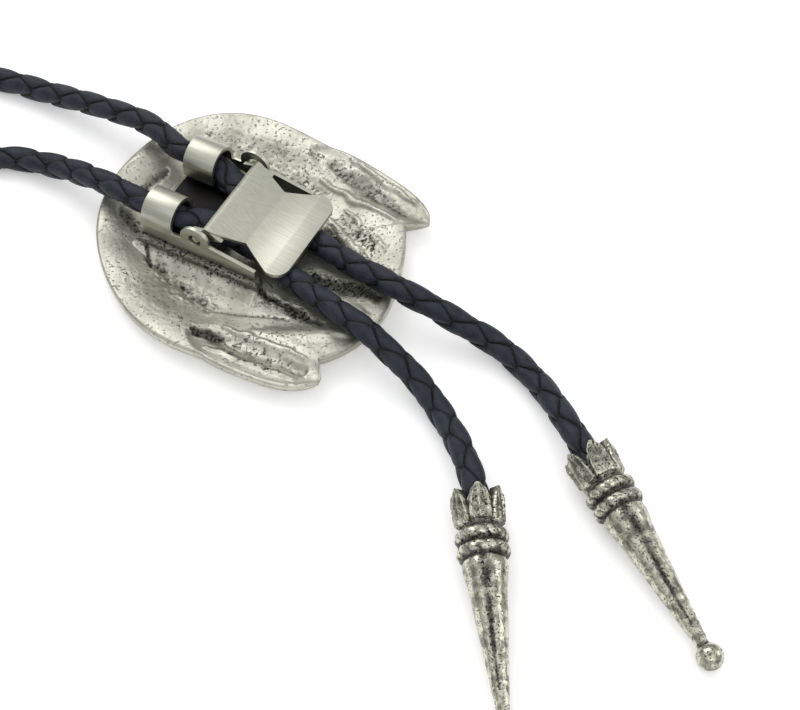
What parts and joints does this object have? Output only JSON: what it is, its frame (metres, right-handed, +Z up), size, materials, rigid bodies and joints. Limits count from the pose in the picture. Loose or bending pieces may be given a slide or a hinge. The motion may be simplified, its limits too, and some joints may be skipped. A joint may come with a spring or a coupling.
{
  "type": "bolo tie",
  "caption": "Braided cord bolo tie lying face down, with a cast slide, a sheet-metal locking clip on its back and cast tips on the cord ends.",
  "frame": {"origin": "centre of the slide's box, plate and clip together, on the surface that it lies on", "axes": "+Z up, out of the slide's back; +Y away from the picture's camera; +X to the picture's right"},
  "size_m": [0.2746, 0.1624, 0.014],
  "materials": {
    "cast_pewter": "cast pewter, antiqued dark in its hollows",
    "satin_nickel": "brushed nickel plate on stamped steel sheet",
    "braided_leather": "matt navy-black round braid"
  },
  "bodies": {
    "tie": {"slide_plate": "cast_pewter", "clip_base": "satin_nickel", "cord": "braided_leather", "tip_right": "cast_pewter", "tip_left": "cast_pewter"},
    "lever": {"clip_lever": "satin_nickel"}
  },
  "joints": [
    {"name": "lever_hinge", "type": "hinge", "parent": "tie", "child": "lever", "pos_m": [-0.007, 0.00609, 0.01], "axis": [-0.4695, -0.8829, 0], "range_deg": [0, 90]}
  ]
}
